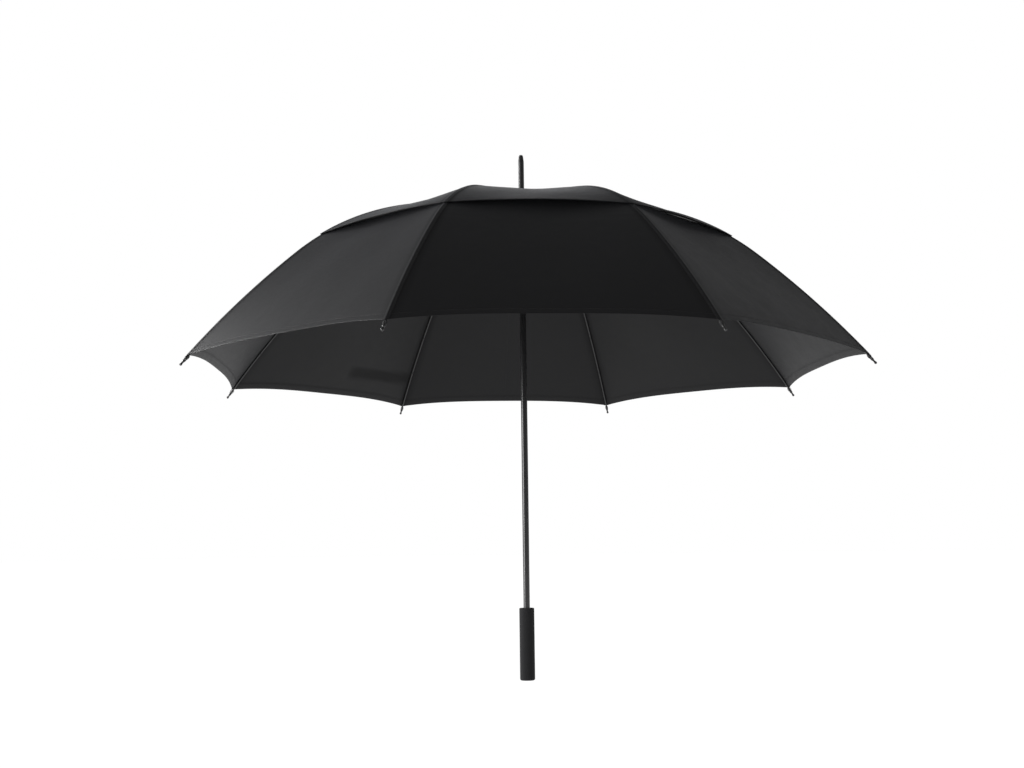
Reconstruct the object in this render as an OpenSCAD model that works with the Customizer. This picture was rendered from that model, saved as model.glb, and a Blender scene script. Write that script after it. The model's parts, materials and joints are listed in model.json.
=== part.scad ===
// Golf umbrella: eight ribs, a vented double canopy, a straight foam grip and a long ferrule.
// Open pose. Origin at the centre of the handle's bottom face, +Z up the shaft, millimetres.

/* [Overall] */
// Radius from the shaft's axis to the end of a rib tip, open
open_radius = 648; // [645:1:652]
// Height from the bottom of the handle to the end of the ferrule
total_height = 1004; // [990:1:1030]
// Height of the rib seams where they meet the shaft
crown_height = 911; // [904:1:915]

/* [Canopy shape] */
// Slope of the canopy at the crown, in degrees below level
crown_slope = 3; // [2:0.5:4]
// Slope where the crown arc meets the bend over the mid joints
shoulder_slope = 13; // [12:0.5:14]
// Slope where the bend meets the outer arc
outer_slope = 41.5; // [41:0.5:42]
// Slope at the canopy's corners
corner_slope = 50.5; // [50:0.5:51]
// Radius of the crown arc
crown_arc = 1400; // [1380:5:1420]
// Radius of the bend over the mid joints
bend_arc = 470; // [464:2:476]
// Radius of the outer arc
outer_arc = 1740; // [1700:10:1780]
// Radius of the vent canopy's corners
vent_radius = 404; // [398:1:410]
// Radius of the opening in the lower canopy, along a rib
opening_radius = 372; // [368:1:376]
// How far each hem is cut back between two ribs
hem_scallop = 14; // [8:1:18]
// Thickness of each canopy layer
cloth_t = 0.8; // [0.6:0.1:1]

/* [Ribs and stretchers] */
// Diameter of a rib
rib_d = 3.4; // [3:0.1:3.6]
// Diameter of a stretcher
stretcher_d = 3.2; // [2.8:0.1:3.4]
// Radius of the rings that the ribs and stretchers pivot on
pivot_radius = 14; // [13.5:0.1:14.5]
// Slope of a rib at its mid joint
mid_slope = 28; // [27.5:0.1:28.5]
// Distance from a rib's centre line down to the stretcher's pin
mid_drop = 4.8; // [4.8:0.1:5.2]
// Diameter of a rib tip
tip_d = 5; // [4.6:0.1:5.4]
// How far the ribs turn at the crown, from open to closed, in degrees
fold = 72; // [70:0.5:73]

/* [Shaft, handle and ferrule] */
// Outer diameter of the shaft
shaft_d = 12; // [12:0.1:12.2]
// Wall of the shaft
shaft_wall = 0.6; // [0.5:0.1:0.8]
// Diameter of the foam grip
grip_d = 28; // [26:1:32]
// Length of the foam grip
grip_length = 132; // [125:1:140]
// Diameter of the ferrule
ferrule_d = 11; // [10:0.5:12]

/* [Runner and catches] */
// Length of the runner below its pivots
runner_drop = 36; // [34:1:38]
// Width of a catch
catch_w = 4; // [3.6:0.1:4.2]
// How far a catch stands out of the shaft
catch_out = 3.6; // [3:0.1:3.8]

/* [Tie strap] */
// Width of the tie strap
strap_w = 24; // [18:1:28]
// Radius of the place on its seam where the strap is sewn
strap_radius = 586; // [560:1:600]
// Share of the half gore that the strap reaches across
strap_share = 0.83; // [0.5:0.01:0.9]

/* [Hidden] */
$fn = 96;
RIBS = 8;
step_angle = 360 / RIBS;
half_angle = step_angle / 2;

function numbered(name) = [for (k = [1:RIBS]) str(name, "_", k)];

// Colours
black_cloth = [0.15, 0.15, 0.16];
black_vent = [0.17, 0.17, 0.18];
black_paint = [0.06, 0.06, 0.07];
black_plastic = [0.10, 0.10, 0.11];
black_fibre = [0.08, 0.08, 0.09];
black_foam = [0.18, 0.18, 0.19];
steel = [0.70, 0.71, 0.73];

// The seam line of the canopy over a rib is three tangent arcs in a vertical plane.
// A place on it is given by its slope, and off is the distance outwards from it.
crown_centre = [0, crown_height] - crown_arc * [sin(crown_slope), cos(crown_slope)];
bend_centre = crown_centre + (crown_arc - bend_arc) * [sin(shoulder_slope), cos(shoulder_slope)];
outer_centre = bend_centre + (bend_arc - outer_arc) * [sin(outer_slope), cos(outer_slope)];

function arc_of(slope) =
    slope <= shoulder_slope ? [crown_centre, crown_arc]
    : slope <= outer_slope ? [bend_centre, bend_arc]
    : [outer_centre, outer_arc];
function seam_at(slope, off = 0) =
    let (arc = arc_of(slope)) arc[0] + (arc[1] + off) * [sin(slope), cos(slope)];
function slope_on(arc, r, off) = asin((r - arc[0][0]) / (arc[1] + off));
function slope_at(r, off = 0) =
    r <= seam_at(shoulder_slope, off)[0] ? slope_on(arc_of(0), r, off)
    : r <= seam_at(outer_slope, off)[0] ? slope_on(arc_of(outer_slope), r, off)
    : slope_on(arc_of(corner_slope), r, off);

// Ribs
rib_off = -(cloth_t + 0.5 + rib_d / 2);
hub_slope = slope_at(pivot_radius, rib_off);
crown_pivot = seam_at(hub_slope, rib_off);
flex_pivot = seam_at(mid_slope, rib_off);
mid_pivot = seam_at(mid_slope, rib_off - mid_drop);
link = mid_pivot - crown_pivot;
link_length = norm(link);
open_angle = atan2(-link[1], link[0]);
runner_pivot = [pivot_radius, crown_pivot[1] - 2 * link_length * sin(open_angle)];
corner = seam_at(corner_slope, rib_off);
tip_out = (open_radius - corner[0]) / cos(corner_slope);
rib_end = 5;
eye_w = 3;
eye_r = 2.2;
pin_r = 0.8;
pin_play = 0.05;
cheek_gap = 0.4;
cheek_t = 1;

// Shaft and what is on it
shaft_r = shaft_d / 2;
shaft_foot = 14;
bond = 0.02;
core_r = 8.5;
plug_flange_r = 11;
notch_r = 17;
notch_low = -4.6;
notch_high = 2.2;
shaft_top = crown_pivot[1] + notch_high;
slot_w = rib_d + 0.5;
slot_in = pivot_radius - rib_d / 2 - 1.2;
slide_play = 0.12;
runner_bottom = runner_pivot[1] - runner_drop;
sleeve_r = 9.5;
flange_r = 12.5;
flange_t = 4;
travel = 2 * link_length * (sin(open_angle + fold) - sin(open_angle));
window_low = flange_t + 0.2;
window_high = window_low + 14;

// Catches
catch_gap = 0.6;
top_catch_z = runner_bottom - catch_gap;
bottom_catch_z = runner_bottom - travel + window_high - 2 * catch_gap;
catch_turn = 90;
catch_arm = 26;
lever_in = 1.4;
lever_t = 2;

// Canopy layers
vent_off = 2;
vent_in = 10;
panel_gap = 0.4;
strap_t = 1;
STRAP_RIB = 3;
rows = 10;
cols = 3;

module on_rib(k) { rotate([0, 0, half_angle + step_angle * (k - 1)]) children(); }

// Turns an outline in the XY plane up into the rib's vertical plane, centred on it.
module upright(w) { rotate([90, 0, 0]) linear_extrude(w, center = true) children(); }

// A rod along one of the seam's arcs, off from it, between two slopes.
module arc_rod(arc, off, from, to, r) {
    translate([arc[0][0], 0, arc[0][1]]) rotate([90, 0, 0]) rotate([0, 0, 90 - to])
        rotate_extrude(angle = to - from) translate([arc[1] + off, 0]) circle(r);
}

// Two arcs of a rib that meet at a slope, and the collar that joins them there.
module bent_rod(from, meet, to) {
    gap = 0.01;
    collar_r = rib_d / 2 + 0.2;
    collar_length = 6;
    half_collar = collar_length / 2 * [cos(meet), -sin(meet)];
    arc_rod(arc_of(meet), rib_off, from, meet - gap, rib_d / 2);
    arc_rod(arc_of(meet + 1), rib_off, meet + gap, to, rib_d / 2);
    straight_rod(seam_at(meet, rib_off) - half_collar, meet, collar_length, collar_r);
}

// A straight rod in the rib's plane, from a point, turned to a slope below level.
module straight_rod(from, slope, length, r) {
    translate([from[0], 0, from[1]]) rotate([0, 90 + slope, 0]) cylinder(h = length, r = r);
}

module disc(at, r, w) {
    translate([at[0], 0, at[1]]) rotate([90, 0, 0]) cylinder(h = w, r = r, center = true);
}

module shaft() {
    color(black_paint) difference() {
        translate([0, 0, shaft_foot]) cylinder(h = shaft_top - shaft_foot, r = shaft_r);
        translate([0, 0, shaft_foot - 1]) cylinder(h = shaft_top, r = shaft_r - shaft_wall);
        catch_slot(top_catch_z);
        catch_slot(bottom_catch_z);
        for (p = CROSS_PINS) cross_pin(p, bond);
    }
}

// The slot that a catch's nose comes out of.
module catch_slot(z) {
    width = catch_w + 0.6;
    low = 13;
    high = 0.8;
    rotate([0, 0, catch_turn]) translate([0, -width / 2, z - low]) cube([shaft_d, width, low + high]);
}

// Each cross pin: its height, its radius and its length.
CROWN_PIN = [crown_pivot[1] - 2.6, 1, 22];
STOP_PIN = [runner_pivot[1] + 6, 1.2, 17];
TOP_CATCH_PIN = [top_catch_z - catch_arm, pin_r, shaft_d];
BOTTOM_CATCH_PIN = [bottom_catch_z - catch_arm, pin_r, shaft_d];
HANDLE_PIN = [70, 1, 16.6];
CROSS_PINS = [CROWN_PIN, STOP_PIN, TOP_CATCH_PIN, BOTTOM_CATCH_PIN, HANDLE_PIN];

module cross_pin(pin, play = 0) {
    translate([0, 0, pin[0]]) rotate([0, 90, 0])
        cylinder(h = pin[2], r = pin[1] + play, center = true, $fn = 48);
}

module shaft_pins() {
    color(steel) for (p = CROSS_PINS) cross_pin(p);
}

// A plug in the shaft's end, a skirt over the canopy's middle, and the spike.
module ferrule() {
    skirt_r = 18;
    hub_r = 8;
    r = ferrule_d / 2;
    plug_r = shaft_r - shaft_wall - bond;
    plug_bottom = shaft_top - 24;
    seat = crown_pivot[1] + notch_high + 0.05;
    base = crown_height + vent_off + 0.4;
    color(black_plastic) difference() {
        rotate_extrude() polygon([
            [0, plug_bottom], [plug_r - 0.4, plug_bottom], [plug_r, plug_bottom + 2], [plug_r, seat],
            [hub_r, seat], [hub_r, base], [skirt_r, base - 1], [skirt_r, base + 0.4],
            [hub_r + 2, base + 3], [hub_r, base + 7], [r + 0.6, base + 13], [r, base + 15],
            [r, total_height - 13], [r - 1.4, total_height - 2], [r - 2.6, total_height],
            [0, total_height]]);
        cross_pin(CROWN_PIN, bond);
    }
}

// The toothed hub that ribs or stretchers pivot in, from z = low to z = high about its pivots.
module toothed_hub(bore, low, high) {
    difference() {
        translate([0, 0, low]) cylinder(h = high - low, r = notch_r);
        translate([0, 0, low - 1]) cylinder(h = high - low + 2, r = bore);
        for (k = [1:RIBS]) on_rib(k)
            translate([slot_in, -slot_w / 2, low - 1]) cube([notch_r, slot_w, high - low + 2]);
        rotate_extrude() translate([pivot_radius, 0]) circle(r = 0.6, $fn = 32);
    }
}

module ring_wire(z) {
    translate([0, 0, z]) rotate_extrude() translate([pivot_radius, 0]) circle(r = 0.55, $fn = 32);
}

module crown_notch() {
    color(black_plastic) difference() {
        translate([0, 0, crown_pivot[1]]) toothed_hub(shaft_r + bond, notch_low, notch_high);
        cross_pin(CROWN_PIN, bond);
    }
}

module crown_ring_wire() { color(steel) ring_wire(crown_pivot[1]); }

module handle_core() {
    color(black_plastic) difference() {
        union() {
            translate([0, 0, 0.6]) cylinder(h = 2.2, r = plug_flange_r);
            translate([0, 0, 2.7]) cylinder(h = grip_length - 10, r = core_r);
        }
        translate([0, 0, shaft_foot - 0.1]) cylinder(h = grip_length, r = shaft_r + bond);
        cross_pin(HANDLE_PIN, bond);
    }
}

module foam_grip() {
    r = grip_d / 2;
    low_round = 2.5;
    top_round = 1.6;
    color(black_foam) difference() {
        rotate_extrude() union() {
            translate([0, low_round]) square([r, grip_length - low_round - top_round]);
            square([r - low_round, grip_length]);
            square([r - top_round, grip_length]);
            translate([r - low_round, low_round]) circle(low_round);
            translate([r - top_round, grip_length - top_round]) circle(top_round);
        }
        translate([0, 0, -1]) cylinder(h = 3.9, r = plug_flange_r + bond);
        translate([0, 0, 2]) cylinder(h = grip_length - 7.2, r = core_r + bond);
        translate([0, 0, 2]) cylinder(h = grip_length, r = shaft_r + bond);
    }
}

// The slide: a toothed hub for the stretchers, a sleeve, and a flange for the thumb.
module runner() {
    bore = shaft_r + slide_play;
    window_w = catch_w + 1;
    color(black_plastic) difference() {
        union() {
            translate([0, 0, runner_pivot[1]]) toothed_hub(bore, notch_low, notch_high);
            translate([0, 0, runner_bottom]) cylinder(h = runner_drop + notch_low + 0.1, r = sleeve_r);
            translate([0, 0, runner_bottom]) cylinder(h = flange_t, r = flange_r);
        }
        translate([0, 0, runner_bottom - 1]) cylinder(h = runner_drop + 10, r = bore);
        rotate([0, 0, catch_turn]) translate([0, -window_w / 2, runner_bottom + window_low])
            cube([notch_r, window_w, window_high - window_low]);
    }
}

module runner_ring_wire() { color(steel) ring_wire(runner_pivot[1]); }

// A spring lever on a pin inside the shaft. Its nose stands out, with its top at z and a ramp below.
module catch(z) {
    foot = z - catch_arm;
    lever_out = lever_in + lever_t;
    nose_out = shaft_r + catch_out;
    rotate([0, 0, catch_turn]) difference() {
        union() {
            disc([0, foot], eye_r, catch_w);
            upright(catch_w) polygon([
                [0, foot], [eye_r, foot], [lever_out, foot + 8], [lever_out, z - 16],
                [nose_out, z - 2.5], [nose_out, z - 1], [shaft_r, z], [lever_in, z],
                [lever_in, foot + 8], [0, foot + eye_r]]);
        }
        disc([0, foot], pin_r + pin_play, catch_w + 1);
    }
}

module top_catch() { color(steel) catch(top_catch_z); }
module bottom_catch() { color(steel) catch(bottom_catch_z); }

// The rib from the crown to its mid joint, with the clip crimped on it and the clip's two pins.
module rib_inner(k) {
    rivet_head = 0.3;
    clip_pins_w = eye_w + 2 * (cheek_gap + cheek_t + rivet_head);
    eye_to_rod = 1.3;
    rod_end = mid_slope - 1;
    sleeve_from = rod_end - 0.9;
    sleeve_length = 11;
    sleeve_wall = 1.1;
    color(black_fibre) on_rib(k) difference() {
        union() {
            bent_rod(hub_slope + degrees(eye_to_rod, crown_arc), shoulder_slope, rod_end);
            disc(crown_pivot, eye_r, eye_w);
            straight_rod(seam_at(sleeve_from, rib_off), rod_end - 0.2, sleeve_length,
                rib_d / 2 + sleeve_wall);
            for (side = [-1, 1])
                translate([0, side * (eye_w / 2 + cheek_gap + cheek_t / 2), 0]) cheek();
            disc(flex_pivot, pin_r, clip_pins_w);
            disc(mid_pivot, pin_r, clip_pins_w);
        }
        disc(crown_pivot, pin_r, eye_w + 1);
    }
}

// One side plate of the clip, from the rib down to the stretcher's pin.
module cheek() {
    cheek_r = 2.1;
    arm_w = 3.6;
    tail_w = 3.4;
    tail_length = 8;
    upright(cheek_t) union() {
        translate(flex_pivot) circle(cheek_r);
        translate(mid_pivot) circle(cheek_r);
        translate(flex_pivot) rotate(-90 - mid_slope)
            translate([0, -arm_w / 2]) square([mid_drop, arm_w]);
        translate(flex_pivot) rotate(180 - mid_slope)
            translate([0, -tail_w / 2]) square([tail_length, tail_w]);
    }
}

// The rib from its mid joint to its tip. It turns a little on the clip as the real rod flexes.
module rib_outer(k) {
    color(black_fibre) on_rib(k) difference() {
        union() {
            disc(flex_pivot, eye_r, eye_w);
            bent_rod(mid_slope, outer_slope, corner_slope + degrees(rib_end));
        }
        disc(flex_pivot, pin_r + pin_play, eye_w + 1);
    }
}

// The cap on a rib's end, with the eye that the canopy's corner is sewn to.
module rib_tip(k) {
    r = tip_d / 2;
    neck_r = r - 0.8;
    eye_at = 7.8;
    thread_r = 0.9;
    color(black_plastic) on_rib(k) translate([corner[0], 0, corner[1]]) rotate([0, 90 + corner_slope, 0])
        difference() {
            rotate_extrude() polygon([
                [0, 0.2], [r - 0.3, 0.2], [r, 0.6], [r, 11], [neck_r, 13],
                [neck_r, tip_out - 4], [r, tip_out - 2.6], [r - 0.6, tip_out - 0.6],
                [r - 1.4, tip_out], [0, tip_out]]);
            translate([0, 0, -1]) cylinder(h = rib_end + 1.1, r = rib_d / 2 + bond);
            translate([0, 0, eye_at]) rotate([90, 0, 0])
                cylinder(h = tip_d * 2, r = thread_r, center = true, $fn = 32);
        }
}

module stretcher(k) {
    color(black_fibre) on_rib(k) difference() {
        union() {
            disc(mid_pivot, eye_r, eye_w);
            disc(runner_pivot, eye_r, eye_w);
            straight_rod(runner_pivot, -open_angle, link_length, stretcher_d / 2);
        }
        disc(mid_pivot, pin_r + pin_play, eye_w + 1);
        disc(runner_pivot, pin_r, eye_w + 1);
    }
}

// A point of a cloth layer: the slope along the rib, v from -1 to 1 between the middles of the two
// gores beside it, off out from the seam line, and puff out of the flat gore at its middle.
function cloth_point(slope, v, off, puff) =
    let (
        q = seam_at(slope, off),
        a = abs(v),
        chord = q[0] * sin(half_angle),
        lift = puff * a * (2 - a),
        out = q[0] - a * chord * sin(half_angle) + lift * sin(slope) * cos(v * half_angle),
        along = sign(v) * max(0, a * (chord * cos(half_angle) - panel_gap / 2)),
        across = lift * sin(slope) * sin(v * half_angle))
    [out, along + across, q[1] + lift * cos(slope)];

// A closed sheet between two grids of points, each a list of rows, the top one first.
module sheet(top, under) {
    nu = len(top);
    nv = len(top[0]);
    size = nu * nv;
    function flat(grid) = [for (row = grid) for (p = row) p];
    function quad(a, b, c, d) = [[a, b, c], [a, c, d]];
    faces = [
        for (i = [0:nu - 2]) for (j = [0:nv - 2]) let (a = i * nv + j) each concat(
            quad(a, a + 1, a + nv + 1, a + nv),
            quad(size + a, size + a + nv, size + a + nv + 1, size + a + 1)),
        for (j = [0:nv - 2]) let (last = (nu - 1) * nv + j) each concat(
            quad(j, size + j, size + j + 1, j + 1),
            quad(last, last + 1, size + last + 1, size + last)),
        for (i = [0:nu - 2]) let (a = i * nv, b = i * nv + nv - 1) each concat(
            quad(a, a + nv, size + a + nv, size + a),
            quad(b, size + b, size + b + nv, b + nv))];
    polyhedron(concat(flat(top), flat(under)), faces);
}

// A layer of cloth: its slopes at the inner edge and the hem, how far the hem is cut back between
// two ribs, its distance from the seam line, and its puff at the inner edge, the hem and between.
MAIN = [slope_at(opening_radius), corner_slope, degrees(hem_scallop), 0, [-2, 0, -5]];
VENT = [slope_at(vent_in), slope_at(vent_radius), 0, vent_off, [0, 6, -5]];

// The slope that a length along an arc spans.
function degrees(length, radius = outer_arc) = length / radius * 180 / PI;

// The slopes that a layer spans at v, and the share of them at one slope.
function span_of(layer, v) = layer[1] - layer[2] * (1 - pow(1 - abs(v), 3)) - layer[0];
function share_at(layer, slope, v) = (slope - layer[0]) / span_of(layer, v);

// A point of a layer, out from its top face by up.
function layer_point(layer, slope, v, up) =
    let (t = share_at(layer, slope, v), shape = layer[4])
    cloth_point(slope, v, layer[3] + up,
        shape[0] + (shape[1] - shape[0]) * pow(t, 3) + 4 * shape[2] * t * (1 - t));

// The cloth beside one rib, out to the middle of each gore.
module panel(layer) {
    function face(up) = [for (i = [0:rows]) [for (j = [-cols:cols])
        let (v = j / cols) layer_point(layer, layer[0] + span_of(layer, v) * i / rows, v, up)]];
    sheet(face(0), face(-cloth_t));
}

module canopy_panel(k) { color(black_cloth) on_rib(k) panel(MAIN); }
module vent_panel(k) { color(black_vent) on_rib(k) panel(VENT); }

// The closing strap, sewn to one seam and lying on the gore beside it.
module tie_strap() {
    middle = slope_at(strap_radius);
    half_w = degrees(strap_w / 2);
    lie = 0.6;
    function face(up) = [for (slope = [middle - half_w, middle, middle + half_w])
        [for (j = [0:cols]) layer_point(MAIN, slope, strap_share * j / cols, up)]];
    color(black_cloth) on_rib(STRAP_RIB) sheet(face(lie + strap_t), face(lie));
}

shaft();
shaft_pins();
ferrule();
crown_notch();
crown_ring_wire();
handle_core();
foam_grip();
runner();
runner_ring_wire();
top_catch();
bottom_catch();
tie_strap();
for (k = [1:RIBS]) {
    rib_inner(k);
    rib_outer(k);
    rib_tip(k);
    stretcher(k);
    canopy_panel(k);
    vent_panel(k);
}
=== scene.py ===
"""Golf umbrella: the cloth, the sewing and the finishes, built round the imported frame.

Lengths are in metres, with +Z up the shaft and the origin at the bottom of the handle.
"""

import json
import math

import bpy
import numpy as np
from bpy.props import FloatProperty, FloatVectorProperty, IntProperty, PointerProperty
from mathutils import Euler, Matrix, Vector


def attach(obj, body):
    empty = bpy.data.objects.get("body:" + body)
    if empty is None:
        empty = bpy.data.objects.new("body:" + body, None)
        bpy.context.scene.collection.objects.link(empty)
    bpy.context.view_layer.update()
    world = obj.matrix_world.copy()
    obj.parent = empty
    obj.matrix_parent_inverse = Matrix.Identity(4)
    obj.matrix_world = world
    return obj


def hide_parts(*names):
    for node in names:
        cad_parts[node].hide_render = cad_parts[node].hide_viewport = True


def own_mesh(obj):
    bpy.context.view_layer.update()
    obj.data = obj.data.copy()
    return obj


bl_info = {
    "name": "Golf umbrella",
    "version": (1, 0, 0),
    "blender": (4, 5, 0),
    "location": "View3D > Sidebar > Umbrella",
    "description": "Sews the cloth of a vented golf umbrella onto its frame and finishes every part",
    "category": "Add Mesh",
}

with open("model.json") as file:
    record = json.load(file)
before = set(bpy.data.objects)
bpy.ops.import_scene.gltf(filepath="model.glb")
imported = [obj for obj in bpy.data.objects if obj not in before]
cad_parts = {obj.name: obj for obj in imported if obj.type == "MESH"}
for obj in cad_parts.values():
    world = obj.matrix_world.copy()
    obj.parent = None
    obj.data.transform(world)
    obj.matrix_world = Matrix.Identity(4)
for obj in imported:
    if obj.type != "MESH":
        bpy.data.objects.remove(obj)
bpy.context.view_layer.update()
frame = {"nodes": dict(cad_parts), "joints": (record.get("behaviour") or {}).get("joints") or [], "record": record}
JOINTS = {joint["name"]: joint for joint in frame["joints"]}
RIBS = 8
STRAP_RIB = 3
HALF_STEP = math.pi / RIBS
MM = 0.001
UP = np.array([0.0, 0.0, 1.0])
ACROSS = np.array([0.0, 1.0, 0.0])

FOLD_LEAN = {"lower": math.radians(16.3), "vent": math.radians(5.2)}
PUCKER_REACH = 0.012
PUCKER_PITCH = 0.017
GORE_LIMIT = 0.92
SHARP_EDGE = math.radians(48)
THREAD_OFF = -3.0 * MM


# ---------------------------------------------------------------- sizes and colours


def length(name, description, default):
    """A length that a user may change, in metres."""
    return FloatProperty(name=name, description=description, default=default, unit="LENGTH", precision=4)


def angle(name, description, degrees):
    """An angle that a user may change."""
    return FloatProperty(name=name, description=description, default=math.radians(degrees), subtype="ANGLE")


def share(name, description, default):
    """A share between 0 and 1."""
    return FloatProperty(name=name, description=description, default=default, min=0.0, max=1.0,
                         subtype="FACTOR")


def colour(name, description, default):
    """A base colour."""
    return FloatVectorProperty(name=name, description=description, default=default, size=3,
                               subtype="COLOR", min=0.0, max=1.0)


class CanopySizes(bpy.types.PropertyGroup):
    """The seam line over a rib, three tangent arcs, and the two layers of cloth that hang from it."""

    crown_height: length("Crown height", "Height of the seams where they meet the shaft", 0.911)
    crown_slope: angle("Crown slope", "Slope of the seams at the shaft", 3)
    shoulder_slope: angle("Shoulder slope", "Slope where the crown arc meets the bend", 13)
    outer_slope: angle("Outer slope", "Slope where the bend meets the outer arc", 41.5)
    corner_slope: angle("Corner slope", "Slope at the canopy's corners", 50.5)
    crown_arc: length("Crown arc", "Radius of the arc next to the shaft", 1.4)
    bend_arc: length("Bend arc", "Radius of the bend over the mid joints", 0.47)
    outer_arc: length("Outer arc", "Radius of the arc out to the corners", 1.74)
    vent_inner: length("Vent inner edge", "Radius of the vent layer's inner edge", 0.010)
    vent_radius: length("Vent radius", "Radius of the vent layer's corners", 0.404)
    vent_lift: length("Vent lift", "How far the vent layer lies above the lower one at a seam", 0.002)
    opening_radius: length("Opening radius", "Radius of the opening in the lower layer", 0.372)
    hem_scallop: length("Hem scallop", "How far the lower hem is cut back between two ribs", 0.014)
    cloth: length("Cloth thickness", "Thickness of a layer, its seams' padding included", 0.0006)
    lower_sag: length("Lower sag", "How far the lower layer sags inwards between two ribs", 0.0068)
    vent_sag: length("Vent sag", "How far the vent layer sags inwards between two ribs", 0.0068)
    vent_billow: length("Vent billow", "How far the vent hem stands out between two ribs", 0.0065)
    wave: length("Wave", "Height of the soft waves in the cloth", 0.0006)
    pucker: length("Pucker", "Height of the puckers that sewing pulls along a seam", 0.00022)


class SewingSizes(bpy.types.PropertyGroup):
    """Hems, seams, stitches and ties."""

    hem_fold: length("Hem fold", "Width of a folded hem", 0.009)
    stitch_inset: length("Stitch inset", "Distance from a hem to its row of stitches", 0.0066)
    seam_width: length("Seam width", "Width of a felled seam over a rib", 0.0105)
    seam_height: length("Seam height", "How far a felled seam stands above the cloth", 0.00045)
    stitch_pitch: length("Stitch pitch", "Distance from one stitch to the next", 0.0032)
    stitch_length: length("Stitch length", "Length of a stitch", 0.0023)
    thread: length("Thread", "Thickness of the sewing thread", 0.00038)
    tie_turns: IntProperty(name="Tie turns", description="Turns of thread in a tie round a rib",
                           default=4, min=2, max=6)
    strap_width: length("Strap width", "Width of the tie strap", 0.024)
    strap_radius: length("Strap radius", "Radius of the place on its seam where the strap is sewn", 0.586)
    strap_share: share("Strap share", "Share of the half gore that the strap reaches across", 0.83)


class Colours(bpy.types.PropertyGroup):
    """Base colours of the finishes."""

    cloth: colour("Cloth", "Lower canopy", (0.0092, 0.0092, 0.0098))
    vent: colour("Vent cloth", "Vent canopy", (0.0092, 0.0092, 0.0098))
    thread: colour("Thread", "Sewing thread", (0.018, 0.018, 0.019))
    paint: colour("Shaft paint", "Shaft", (0.006, 0.006, 0.0065))
    plastic: colour("Plastic", "Ferrule, tips, notch and runner", (0.009, 0.009, 0.0095))
    fibre: colour("Fibreglass", "Ribs and stretchers", (0.007, 0.007, 0.0075))
    foam: colour("Foam", "Grip", (0.014, 0.014, 0.0149))
    steel: colour("Steel", "Pins, wires and catches", (0.55, 0.56, 0.58))
    floor: colour("Floor", "Floor and background", (0.9, 0.9, 0.9))


class StageSizes(bpy.types.PropertyGroup):
    """Camera and light."""

    lens: FloatProperty(name="Lens", description="Focal length in millimetres", default=43.727)
    azimuth: angle("Azimuth", "Turn of the camera round the shaft", -4.462)
    distance: length("Distance", "Distance from the shaft to the camera", 2.3584)
    eye_height: length("Eye height", "Height of the camera above the bottom of the handle", 0.2621)
    turn: angle("Turn", "Heading of the camera", -3.913)
    pitch: angle("Pitch", "How far the camera looks up", 7.055)
    roll: angle("Roll", "How far the camera leans", -0.678)
    floor_drop: length("Floor drop", "Depth of the floor below the handle", 0.62)


GROUPS = {"umbrella_canopy": CanopySizes, "umbrella_sewing": SewingSizes,
          "umbrella_colours": Colours, "umbrella_stage": StageSizes}


def canopy():
    """The canopy's sizes."""
    return bpy.context.scene.umbrella_canopy


def sewing():
    """The sizes of the sewing."""
    return bpy.context.scene.umbrella_sewing


# ---------------------------------------------------------------- the canopy's surface


def rib_under(layer, k):
    """The part of rib k that a layer lies on."""
    return f"rib_outer_{k}" if layer.name == "lower" else f"rib_inner_{k}"


def cloth_of(layer):
    """The material slot of a layer's cloth."""
    return "canopy_cloth" if layer.name == "lower" else "vent_cloth"


def panel_of(layer, k):
    """The plain panel that a layer's cloth at rib k replaces."""
    return f"canopy_panel_{k}" if layer.name == "lower" else f"vent_panel_{k}"


def along_and_out(slope):
    """The unit vectors down the seam and out of the cloth, in a rib's frame."""
    along = np.array([math.cos(slope), 0.0, -math.sin(slope)])
    out = np.array([math.sin(slope), 0.0, math.cos(slope)])
    return along, out


def place_under(slope):
    """The place in a rib's frame where thread passes round the rib at a slope."""
    radius, height = seam_at(np.array([slope]), THREAD_OFF)
    return np.array([radius[0], 0.0, height[0]])


def rib_turn(k):
    """The turn of rib k round the shaft, from the joint that it folds on."""
    x, y, _ = JOINTS[f"rib_fold_{k}"]["pos_m"]
    return math.atan2(y, x)


def to_row(points, k):
    """Points in rib k's frame, X out along the rib, as points in the row frame."""
    c, s = math.cos(rib_turn(k)), math.sin(rib_turn(k))
    return points @ np.array([[c, s, 0.0], [-s, c, 0.0], [0.0, 0.0, 1.0]])


def seam_arcs():
    """The centres and radii of the seam's three arcs, and the slopes where they meet."""
    z = canopy()
    radii = np.array([z.crown_arc, z.bend_arc, z.outer_arc])
    meets = np.array([z.crown_slope, z.shoulder_slope, z.outer_slope])
    way = np.stack([np.sin(meets), np.cos(meets)], axis=1)
    centres = [np.array([0.0, z.crown_height]) - radii[0] * way[0]]
    for i in (1, 2):
        centres.append(centres[-1] + (radii[i - 1] - radii[i]) * way[i])
    return np.array(centres), radii, meets[1:]


def seam_at(slope, off=0.0):
    """The seam's radius and height at a slope, off outwards from it."""
    centres, radii, meets = seam_arcs()
    arc = np.searchsorted(meets, slope)
    reach = radii[arc] + off
    return centres[arc, 0] + reach * np.sin(slope), centres[arc, 1] + reach * np.cos(slope)


def slope_at(radius, off=0.0):
    """The slope at which the seam, off outwards, has a radius."""
    centres, radii, meets = seam_arcs()
    for i in range(3):
        slope = math.asin((radius - centres[i, 0]) / (radii[i] + off))
        if i == 2 or slope <= meets[i]:
            return slope


def seam_length(slope):
    """The length along the seam from the shaft to each slope."""
    _, radii, meets = seam_arcs()
    knots = np.concatenate([[canopy().crown_slope], meets])
    lengths = np.concatenate([[0.0], np.cumsum(radii[:2] * np.diff(knots))])
    arc = np.searchsorted(meets, slope)
    return lengths[arc] + radii[arc] * (slope - knots[arc])


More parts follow.
